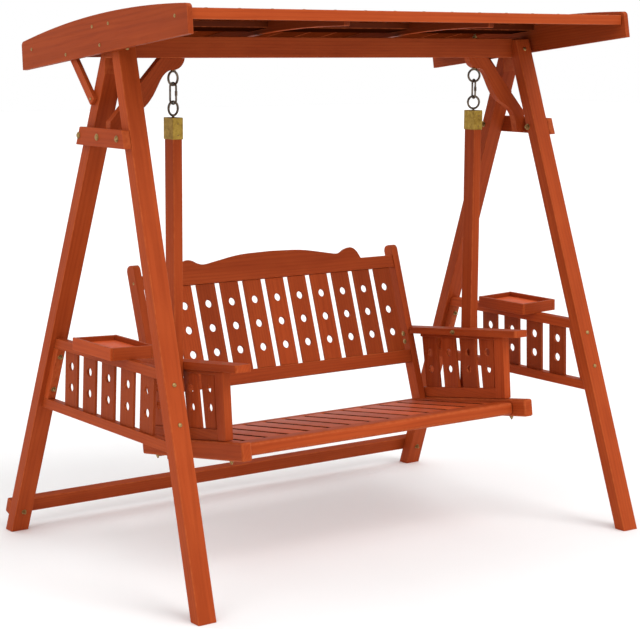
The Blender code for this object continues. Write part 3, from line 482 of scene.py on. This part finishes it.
def tube(name, points, radius, material, body, nodes):
    """Round wire along a closed line of points."""
    curve = bpy.data.curves.new(name, "CURVE")
    curve.dimensions = "3D"
    curve.bevel_depth = radius
    curve.bevel_resolution = 6
    spline = curve.splines.new("POLY")
    spline.points.add(len(points) - 1)
    for point, co in zip(spline.points, points):
        point.co = (*co, 1.0)
    spline.use_cyclic_u = True
    guide = bpy.data.objects.new(name, curve)
    bpy.context.scene.collection.objects.link(guide)
    graph = bpy.context.evaluated_depsgraph_get()
    mesh = bpy.data.meshes.new_from_object(guide.evaluated_get(graph))
    bpy.data.objects.remove(guide)
    bpy.data.curves.remove(curve)
    place(name, mesh, material, body, STEEL_SLOT, nodes)


# ------------------------------------------------------------------------------------------- the stand


def front_leg_y(z, depth=0.0):
    """The front leg's front face at height z, or a line this far behind it."""
    return FRONT_FOOT + FRONT_SLOPE * z + depth


def rear_leg_y(z, depth=0.0):
    """The rear leg's rear face at height z, or a line this far before it."""
    return REAR_FOOT - REAR_SLOPE * z - depth


def panel_boards(label, fr):
    """The side panel's rails, end posts and drilled slats as separate boards."""
    node = f"side_panel_{label}"
    low, high, tall, thick = 0.4455, 0.677, 0.031, 0.028
    inset = LEG_DEPTH + GAP
    post = PANEL_POST
    plane = fr @ upright(-LEG_WIDTH / 2)
    for name, z0, z1 in (("bottom", low, low + tall - SEAM), ("top", high - tall + SEAM, high)):
        loop = [
            (front_leg_y(z0, inset), z0),
            (rear_leg_y(z0, inset), z0),
            (rear_leg_y(z1, inset), z1),
            (front_leg_y(z1, inset), z1),
        ]
        board(f"{node}_{name}_rail", [loop], thick, plane, node)
    z0, z1 = low + tall + SEAM, high - tall - SEAM
    for name, edge in (("front", front_leg_y), ("rear", rear_leg_y)):
        loop = [
            (edge(z0, inset), z0),
            (edge(z0, inset + post), z0),
            (edge(z1, inset + post), z1),
            (edge(z1, inset), z1),
        ]
        board(f"{node}_{name}_post", [loop], thick, plane, node, "Y")
    middle, pitch, half = -0.0205, 0.1145, 0.0755 / 2
    for i in range(5):
        y = middle + (i - 2) * pitch
        holes = [circle(y, z, PANEL_HOLE) for z in (0.535, 0.601)]
        loops = [rect(y - half, z0, y + half, z1)] + holes
        # The slats' lower tone is painted shade for their recess between the rails and posts.
        board(f"{node}_slat_{i + 1}", loops, SLAT_THICK, plane, node, "Y", 0.0015, tone=-1.3)


def tray_boards(label, fr):
    """The tray's floor and four butt-jointed walls."""
    node = f"tray_{label}"
    half_x, half_y, wall, floor = 0.075, 0.115, 0.010, 0.023
    y, bottom, top = -0.0425, 0.677 + GAP, 0.715 + GAP
    x = -LEG_WIDTH / 2
    flat = fr @ Matrix.Translation((x, y, bottom + floor / 2))
    inside = rect(-half_x + wall, -half_y + wall, half_x - wall, half_y - wall)
    # The floor's raised tone and the paler copy of the wood on its top are painted light.
    board(f"{node}_floor", [inside], floor, flat, node, "Y", 0.0006, tone=1.6)
    for name, sign in (("inner", -1), ("outer", 1)):
        matrix = fr @ upright(x + sign * (half_x - wall / 2))
        board(f"{node}_{name}_wall", [rect(y - half_y, bottom, y + half_y, top)], wall, matrix, node)
    for name, sign in (("front", -1), ("rear", 1)):
        centre = y + sign * (half_y - wall / 2)
        matrix = fr @ Matrix(((1, 0, 0, x), (0, 0, -1, centre), (0, 1, 0, 0), (0, 0, 0, 1)))
        loop = rect(-half_x + wall + SEAM, bottom, half_x - wall - SEAM, top - 2 * SEAM)
        board(f"{node}_{name}_wall", [loop], wall, matrix, node)


def stand_fasteners(label, fr):
    """Bolts, nuts and screws of one end frame, given outwards, back and up in its plane."""
    turn = fr.to_3x3()
    out = turn @ Vector((1, 0, 0))

    def at(x, y, z):
        return fr @ Vector((x, y, z))

    plate, plate_z = 0.025, 1.3175
    for i, y in enumerate((0.093, -0.018, -0.134)):
        dome_bolt(f"plate_bolt_{label}_{i + 1}", at(plate, y, plate_z), out, "stand", PLATE_BOLT)
        inner = -LEG_WIDTH if i != 1 else -GAP
        nut_and_end(f"plate_nut_{label}_{i + 1}", at(inner, y, plate_z), -out, "stand")
    arch, strut = 0.031, 0.014
    low_spots = ((0.392, 1.567), (0.170, 1.5535), (-0.035, 1.583))
    high_spots = ((0.012, 1.636), (-0.082, 1.645), (-0.446, 1.664))
    for i, (y, z) in enumerate(low_spots + high_spots):
        screw(f"arch_screw_{label}_{i + 1}", at(arch, y, z), out, "stand", 0.0052)
    foot_y, foot_z = 0.0435, 1.427
    dome_bolt(f"strut_bolt_{label}", at(strut, foot_y, foot_z), out, "stand", 0.0045, False)
    nut_and_end(f"strut_nut_{label}", at(-LEG_WIDTH, foot_y, foot_z), -out, "stand", PANEL_BOLT)

    face = (turn @ Vector((0, -1, FRONT_SLOPE))).normalized()
    back = (turn @ Vector((0, 1, REAR_SLOPE))).normalized()
    middle = -LEG_WIDTH / 2
    inset = LEG_DEPTH + PANEL_POST + GAP
    for i, z in enumerate((0.5315, 0.6400)):
        front_spot, rear_spot = at(middle, front_leg_y(z), z), at(middle, rear_leg_y(z), z)
        dome_bolt(f"leg_bolt_front_{label}_{i + 1}", front_spot, face, "stand", LEG_BOLT, False)
        dome_bolt(f"leg_bolt_rear_{label}_{i + 1}", rear_spot, back, "stand", LEG_BOLT, False)
        down = z - 0.022
        front_spot = at(middle, front_leg_y(down, inset), down)
        rear_spot = at(middle, rear_leg_y(down, inset), down)
        nut_and_end(f"panel_nut_front_{label}_{i + 1}", front_spot, -face, "stand", PANEL_BOLT)
        nut_and_end(f"panel_nut_rear_{label}_{i + 1}", rear_spot, -back, "stand", PANEL_BOLT)
    apex_z, low_z, lift, stretcher = 1.5775, 0.070, 0.076, 0.028
    front_spot = at(middle, front_leg_y(apex_z), apex_z)
    rear_spot = at(middle, rear_leg_y(apex_z), apex_z)
    dome_bolt(f"apex_bolt_{label}", front_spot, face, "stand", LEG_BOLT, False)
    nut_and_end(f"apex_nut_{label}", rear_spot, back, "stand")
    inner_spot = at(middle, rear_leg_y(low_z, LEG_DEPTH), low_z)
    nut_and_end(f"stretcher_nut_{label}", inner_spot, -back, "stand", PANEL_BOLT)
    tip = math.atan(REAR_SLOPE)
    y, z = rear_leg_y(lift) + stretcher * math.cos(tip), lift + stretcher * math.sin(tip)
    outer_spot = at(middle, y, z)
    dome_bolt(f"stretcher_bolt_{label}", outer_spot, back, "stand", PLATE_BOLT, False)


def arch_z(y, drop=0.0):
    """Height of the canopy's top line at y, less a drop measured square to it."""
    front, rear = Vector((-0.5085, 1.698)), Vector((0.461, 1.588))
    chord = rear - front
    rise = 0.029
    radius = chord.length**2 / (8 * rise) + rise / 2
    up = Vector((-chord.y, chord.x)).normalized()
    centre = (front + rear) / 2 + up * (rise - radius)
    return centre.y + math.sqrt((radius - drop) ** 2 - (y - centre.x) ** 2)


def roof_boards():
    """The roof's thin boards, bent over the rafters from front to back with narrow gaps."""
    start, end = -0.479 + GAP, 0.430
    top, under = 0.012, 0.021
    count, steps, gap, step = 15, 18, 0.005, 0.005
    pitch = 2 * 0.8135 / count
    rows = (("front", -0.489, (0.0,), 0.0003), ("rear", 0.403, (-0.030, 0.030), 0.0))
    ys = [start + (end - start) * k / steps for k in range(steps + 1)]
    loop = [(y, arch_z(y, top)) for y in ys] + [(y, arch_z(y, under)) for y in reversed(ys)]
    for i in range(count):
        x = (i - (count - 1) / 2) * pitch
        # Their undersides get the painted-shade copy of the wood.
        board(f"roof_board_{i + 1:02d}", [loop], pitch - gap, upright(x), "canopy_roof", "X", 0.0012)
        for name, y, sideways, sink in rows:
            up = Vector((0, -(arch_z(y + step) - arch_z(y - step)) / (2 * step), 1))
            for k, dx in enumerate(sideways):
                spot = (x + dx, y, arch_z(y, top) - sink)
                screw(f"roof_screw_{name}_{i + 1:02d}_{k + 1}", spot, up, "stand", 0.0045)


def build_stand():
    for side, label in SIDES:
        fr = end_frame(side)
        turn = fr.to_3x3()
        out = turn @ Vector((1, 0, 0))
        dress(f"leg_front_{label}", turn @ Vector((0, FRONT_SLOPE, 1)), out, tone=0.25)
        dress(f"leg_rear_{label}", turn @ Vector((0, -REAR_SLOPE, 1)), out, tone=-0.15)
        dress(f"cross_plate_{label}", (0, 1, 0), out)
        dress(f"canopy_strut_{label}", turn @ Vector((0, 1, 1)), out)
        dress(f"canopy_arch_{label}", turn @ Vector((0, 0.97, -0.11)), out)
        dress(f"knee_brace_{label}", (side * 0.62, 0, -0.78), (0, 1, 0))
        # The rafters' low tone is painted shade under the roof; their undersides' raised tone is a painted
        # highlight.
        dress(f"canopy_rafter_{label}", (0, 1, -0.1), (1, 0, 0), 0.002, -3.0, (((0, 0, -1), 4.0),))
        panel_boards(label, fr)
        tray_boards(label, fr)
        stand_fasteners(label, fr)
    dress("ridge_beam", (1, 0, 0), (0, 1, 0), tone=-0.2)
    dress("lower_stretcher", (1, 0, 0), (0, 1, REAR_SLOPE), tone=-0.3)
    dress("canopy_front_rail", (1, 0, 0), (0, 1, 0), tone=0.5)
    # The rear rail's and the ridge board's low tones are painted shade under the roof.
    dress("canopy_rear_rail", (1, 0, 0), (0, 1, 0), tone=-3.2)
    dress("canopy_ridge_board", (1, 0, 0), (0, 0, 1), tone=-4.0)
    roof_boards()


# ------------------------------------------------------------------------------------------- the bench


def tilted(slope):
    """A plane across the bench that falls by this slope towards the back, through the seat's middle."""
    return Matrix.Translation((0, LINES_Y, SEAT_Z)) @ Matrix.Rotation(math.atan(slope), 4, "X")


def back_frame():
    """The leaning plane of the bench's back, with Z up along it from its foot."""
    return Matrix.Translation((0, *BACK_FOOT)) @ Matrix.Rotation(-BACK_LEAN, 4, "X")


def rail_top_z(y):
    """Height of the seat's side rails' tops."""
    return SEAT_Z + SEAT_SLOPE * (y - LINES_Y) + 0.004 / math.cos(math.atan(SEAT_SLOPE))


def arm_bottom_z(y):
    """Height of the armrests' undersides."""
    return ARM_Z + ARM_SLOPE * (y - LINES_Y) - ARM_THICK / math.cos(math.atan(ARM_SLOPE))


def seat_boards():
    """Twelve seat slats from front to back and a narrow one at each end, on a bearer and a batten."""
    fr = tilted(DECK_SLOPE)
    start, end, top, under = -0.218 + GAP, 0.1517 - GAP, -0.001, -0.016
    pitch, half_slat = 0.0793, 0.03175
    # Painted shade on the slats' sides, darker in the gaps between them; their tops get the painted-light
    # copy of the wood.
    sides = (((1, 0, 0), -5.0), ((-1, 0, 0), -5.0))
    spans = [(-0.5110, -0.4837), (0.4837, 0.5110)]
    for i in range(12):
        x = (i - 5.5) * pitch
        spans.append((x - half_slat, x + half_slat))
    thick = top - under
    flat = fr @ Matrix.Translation((0, 0, top - thick / 2))
    for i, (left, right) in enumerate(sorted(spans)):
        loop = rect(left, start, right, end)
        board(f"seat_slat_{i + 1:02d}", [loop], thick, flat, "seat_slats", "Y", painted_shade_and_light=sides)
    half = 0.513 - GAP
    bearers = (("front", start, start + 0.076, 0.0325), ("rear", end - 0.016, end, 0.018))
    for name, y0, y1, tall in bearers:
        flat = fr @ Matrix.Translation((0, 0, under - GAP - tall / 2))
        board(f"seat_bearer_{name}", [rect(-half, y0, half, y1)], tall, flat, "seat_slats", "X", 0.002)


def arm_panel_boards(side, label):
    """The arm panel's rails and drilled slats, which lean back a little."""
    node = f"arm_panel_{label}"
    start, end, clear = -0.2225, 0.168, 2 * GAP
    near = start - 0.014
    centre = side * 0.555
    lower_tall, upper_tall, thick = 0.034, 0.012, 0.020
    half_slat, lean_by = 0.0375, 0.13
    lower = [
        (near, rail_top_z(near) + clear),
        (end, rail_top_z(end) + clear),
        (end, rail_top_z(end) + clear + lower_tall),
        (near, rail_top_z(near) + clear + lower_tall),
    ]
    upper = [
        (start, arm_bottom_z(start) - clear - upper_tall),
        (end, arm_bottom_z(end) - clear - upper_tall),
        (end, arm_bottom_z(end) - clear),
        (start, arm_bottom_z(start) - clear),
    ]
    plane = upright(centre)
    board(f"{node}_lower_rail", [lower], thick, plane, node)
    board(f"{node}_upper_rail", [upper], thick, plane, node)
    for i, y in enumerate((-0.2005, -0.101, -0.0015, 0.098)):
        lean = lean_by * (arm_bottom_z(y) - rail_top_z(y))
        front, rear = y - half_slat, y + half_slat
        low_front, high_front = max(front, start + 0.003), max(front + lean, start + 0.003)
        loop = [
            (low_front, rail_top_z(low_front) + clear + lower_tall + SEAM),
            (rear, rail_top_z(rear) + clear + lower_tall + SEAM),
            (rear + lean, arm_bottom_z(rear + lean) - clear - upper_tall - SEAM),
            (high_front, arm_bottom_z(high_front) - clear - upper_tall - SEAM),
        ]
        foot = rail_top_z(y)
        holes = [circle(y + lean_by * height, foot + height, ARM_HOLE) for height in (0.0975, 0.1545)]
        board(f"{node}_slat_{i + 1}", [loop] + holes, SLAT_THICK, plane, node, "Y", 0.0015)


def bench_fasteners(side, label):
    """Bolts, nuts, screws and cap nails of one side of the bench."""
    x_axis = Vector((side, 0, 0))
    seat = tilted(SEAT_SLOPE)
    back = back_frame()
    arm_z, rail_z, outer, inner = 0.6175, 0.3560, 0.6068, 0.518
    for name, z in (("arm", arm_z), ("rail", rail_z)):
        dome_bolt(f"hanger_bolt_{name}_{label}", (side * outer, CHAIN_Y, z), x_axis, "bench", 0.0070)
    nut_and_end(f"hanger_nut_arm_{label}", (side * inner, CHAIN_Y, arm_z), -x_axis, "bench", 0.0065)
    down = seat.to_3x3() @ Vector((0, 0, -1))
    for i, y in enumerate((-0.262, 0.168)):
        spot = seat @ Vector((side * 0.557, y, -0.053))
        nut_and_end(f"rail_nut_{label}_{i + 1}", spot, down, "bench", PANEL_BOLT)
    for i, height in enumerate((0.268, 0.296)):
        spot = back @ Vector((side * 0.513, 0.024, height))
        dome_bolt(f"stile_bolt_{label}_{i + 1}", spot, -x_axis, "bench", 0.0065)
    for i, height in enumerate((0.2135, 0.5560)):
        spot = back @ Vector((side * 0.5385, 0.015, height))
        screw(f"stile_screw_{label}_{i + 1}", spot, x_axis, "bench")
    arm_up = Vector((0, -ARM_SLOPE, 1))
    for i, y in enumerate((-0.255, -0.150, 0.055, 0.150)):
        spot = (side * 0.554, y, ARM_Z + ARM_SLOPE * (y - LINES_Y) - GAP)
        screw(f"arm_screw_{label}_{i + 1}", spot, arm_up, "bench")
    cap_y = CHAIN_Y - HANGER_DEPTH / 2 - 0.0018
    for i, z in enumerate((1.318, 1.352)):
        screw(f"cap_nail_{label}_{i + 1}", (side * CHAIN_X, cap_y, z), (0, -1, 0), "bench", 0.0022)


def build_bench():
    seat = tilted(SEAT_SLOPE).to_3x3()
    back = back_frame().to_3x3()
    along_seat = seat @ Vector((0, 1, 0))
    up_back = back @ Vector((0, 0, 1))
    out_back = back @ Vector((0, 1, 0))
    for side, label in SIDES:
        x_axis = Vector((1, 0, 0))
        dress(f"seat_side_rail_{label}", along_seat, x_axis, tone=0.1)
        dress(f"back_stile_{label}", up_back, x_axis)
        dress(f"arm_post_{label}", (0, 0.085, 1), x_axis)
        dress(f"armrest_{label}", (0, 1, ARM_SLOPE), (0, 0, 1), tone=0.2)
        dress(f"hanger_post_{label}", (0, 0, 1), x_axis, tone=-0.1)
        arm_panel_boards(side, label)
        bench_fasteners(side, label)
    dress("seat_front_rail", (1, 0, 0), along_seat, tone=0.5)
    dress("seat_back_rail", (1, 0, 0), along_seat)
    dress("back_crest_rail", (1, 0, 0), out_back, 0.0022, tone=0.1)
    dress("back_bottom_rail", (1, 0, 0), out_back, tone=0.0)
    for i in range(11):
        dress(f"back_slat_{i + 1:02d}", up_back, out_back)
    seat_boards()


# ------------------------------------------------------------------------------------ caps, eyes, links


def dress_cap(node):
    """The node's own shape in brass."""
    shape = bmesh.new()
    shape.from_mesh(NODES[node].data)
    bmesh.ops.remove_doubles(shape, verts=shape.verts, dist=WELD)
    place("brass_" + node, from_bmesh("brass_" + node, shape), BRASS, "bench", "brass", [node])


def eye_bolt(name, x, across, body, bearing, sign, length):
    """An eye's ring and its threaded shank, which points up (1) or down (-1)."""
    up = Vector((0, 0, 1))
    centre = Vector((x, CHAIN_Y, bearing + sign * RING_R))
    angles = [math.tau * i / 64 for i in range(64)]
    ring = [centre + across * RING_R * math.cos(a) + up * RING_R * math.sin(a) for a in angles]
    tube(f"ring_{name}", ring, RING_WIRE, BRONZE, body, [f"eye_bolt_{name}"])
    root, crest, rise = 0.0033, 0.0039, 0.0014
    profile = [(0, 0), (0, crest), (0.004, 0.0038)]
    z = 0.006
    while z < length - 0.002:
        profile += [(z, root), (z + rise / 2, crest)]
        z += rise
    profile += [(length, root), (length, 0.0)]
    start = centre + up * sign * (RING_R + 0.001)
    turned(f"shank_{name}", profile, start, up * sign, BRONZE, body, STEEL_SLOT, 18)


def quick_link(label, x, along):
    """A long closed link of wire, with its hexagon sleeve on one side."""
    up = Vector((0, 0, 1))
    top, bottom = UPPER_Z + REACH - LINK_HALF, LOWER_Z - REACH + LINK_HALF
    body = f"link_{label}"
    path = []
    for height, start_angle in ((top, 0.0), (bottom, math.pi)):
        middle = Vector((x, CHAIN_Y, height))
        for i in range(19):
            a = start_angle + math.pi * i / 18
            path.append(middle + along * LINK_HALF * math.cos(a) + up * LINK_HALF * math.sin(a))
    tube(f"link_{label}_wire", path, LINK_WIRE, BRONZE, body, [f"quick_link_{label}"])
    half = 0.007
    lower = [(0, 0.0030), (0, 0.0042), (0.0008, 0.0046)]
    upper = [(0.0132, 0.0046), (0.0140, 0.0042), (0.0140, 0.0030)]
    start = Vector((x, CHAIN_Y, (top + bottom) / 2 - half)) - along * LINK_HALF
    turned(f"link_{label}_sleeve", lower + upper, start, up, BRONZE, body, STEEL_SLOT, 6)


def build_hanging():
    up = Vector((0, 0, 1))
    for side, label in SIDES:
        dress_cap(f"post_cap_{label}")
        x = side * CHAIN_X
        turn = -side * CHAIN_TURN
        across = Vector((math.cos(turn), math.sin(turn), 0))
        along = Vector((-math.sin(turn), math.cos(turn), 0))
        eye_bolt(f"upper_{label}", x, across, "stand", UPPER_Z, 1, 0.116)
        eye_bolt(f"lower_{label}", x, across, "bench", LOWER_Z, -1, 0.045)
        nut_and_end(f"beam_nut_{label}", (x, CHAIN_Y, BEAM_TOP), up, "stand", 0.0075)
        flange = washer(0.010, WASHER_THICK) + [(WASHER_THICK, 0)]
        fastener(f"eye_washer_{label}", flange, (x, CHAIN_Y, 1.5092), up, "stand", 32)
        quick_link(label, x, along)


# ------------------------------------------------------------------------------------------- the scene


def build_floor():
    shape = bmesh.new()
    bmesh.ops.create_grid(shape, x_segments=1, y_segments=1, size=30.0)
    floor = bpy.data.objects.new("floor", from_bmesh("floor", shape))
    bpy.context.scene.collection.objects.link(floor)
    floor.data.materials.append(floor_material())
    floor.location.z = -0.0005


def add_sun(name, direction, strength):
    """A soft sun that shines along a direction."""
    light = bpy.data.lights.new(name, "SUN")
    light.energy = strength
    light.angle = math.radians(35)
    obj = bpy.data.objects.new(name, light)
    bpy.context.scene.collection.objects.link(obj)
    obj.rotation_euler = Vector(direction).to_track_quat("-Z", "Y").to_euler()


def build_light():
    world = bpy.data.worlds.new("studio")
    bpy.context.scene.world = world
    world.use_nodes = True
    background = world.node_tree.nodes["Background"]
    background.inputs["Color"].default_value = (1.0, 1.0, 1.0, 1.0)
    background.inputs["Strength"].default_value = 1.0
    add_sun("key", (-0.25, 0.70, -0.80), 1.2)
    add_sun("side", (0.85, 0.35, -0.55), 0.45)
    bpy.context.scene.view_settings.view_transform = "Standard"


def build_camera():
    yaw, pitch, roll = math.radians(36.128), math.radians(8.889), math.radians(0.359)
    forward = Vector((math.sin(yaw) * math.cos(pitch), math.cos(yaw) * math.cos(pitch), -math.sin(pitch)))
    right = Vector((math.cos(yaw), -math.sin(yaw), 0.0))
    up = right.cross(forward)
    right, up = math.cos(roll) * right + math.sin(roll) * up, math.cos(roll) * up - math.sin(roll) * right
    camera = bpy.data.cameras.new("camera")
    camera.lens = 99.04
    camera.sensor_width = 36.0
    obj = bpy.data.objects.new("camera", camera)
    bpy.context.scene.collection.objects.link(obj)
    turn = Matrix((right, up, -forward)).transposed().to_4x4()
    obj.matrix_world = Matrix.Translation((-3.3482, -4.5657, 1.6040)) @ turn
    bpy.context.scene.camera = obj


build_camera()
build_stand()
build_bench()
build_hanging()
build_floor()
build_light()

bpy.context.view_layer.update()
